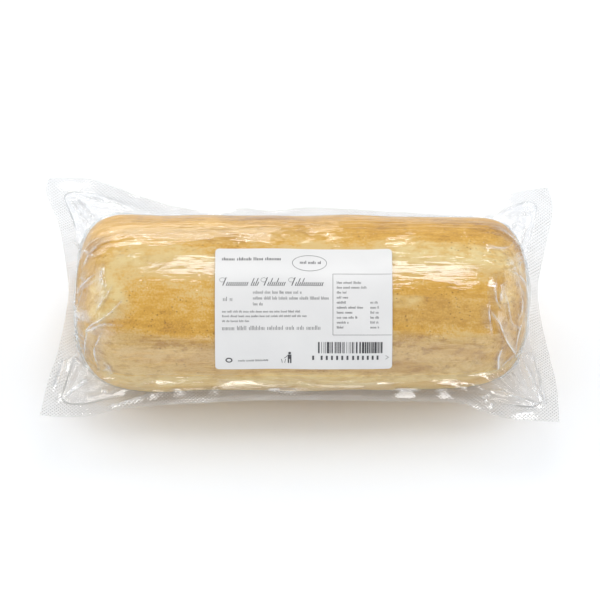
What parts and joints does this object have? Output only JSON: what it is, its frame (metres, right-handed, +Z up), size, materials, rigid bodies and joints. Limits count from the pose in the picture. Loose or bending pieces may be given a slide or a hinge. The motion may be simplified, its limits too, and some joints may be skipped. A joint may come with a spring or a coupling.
{
  "type": "smoked scamorza",
  "caption": "Smoked scamorza cheese log, vacuum packed in a clear sealed bag with a flat welded edge all round, and a paper label on its upper front.",
  "frame": {"origin": "middle of the bag's plan outline, on the surface that the pack rests on", "axes": "+X along the log, +Y to the back, away from the label, +Z up"},
  "size_m": [0.298, 0.1775, 0.093],
  "materials": {
    "cheese_in_film": "glossy clear film over smoked cheese rind",
    "label_card": "satin coated white label paper with dark grey print"
  },
  "bodies": {
    "root": {"sealed_bag": "cheese_in_film", "label": "label_card"}
  },
  "joints": []
}
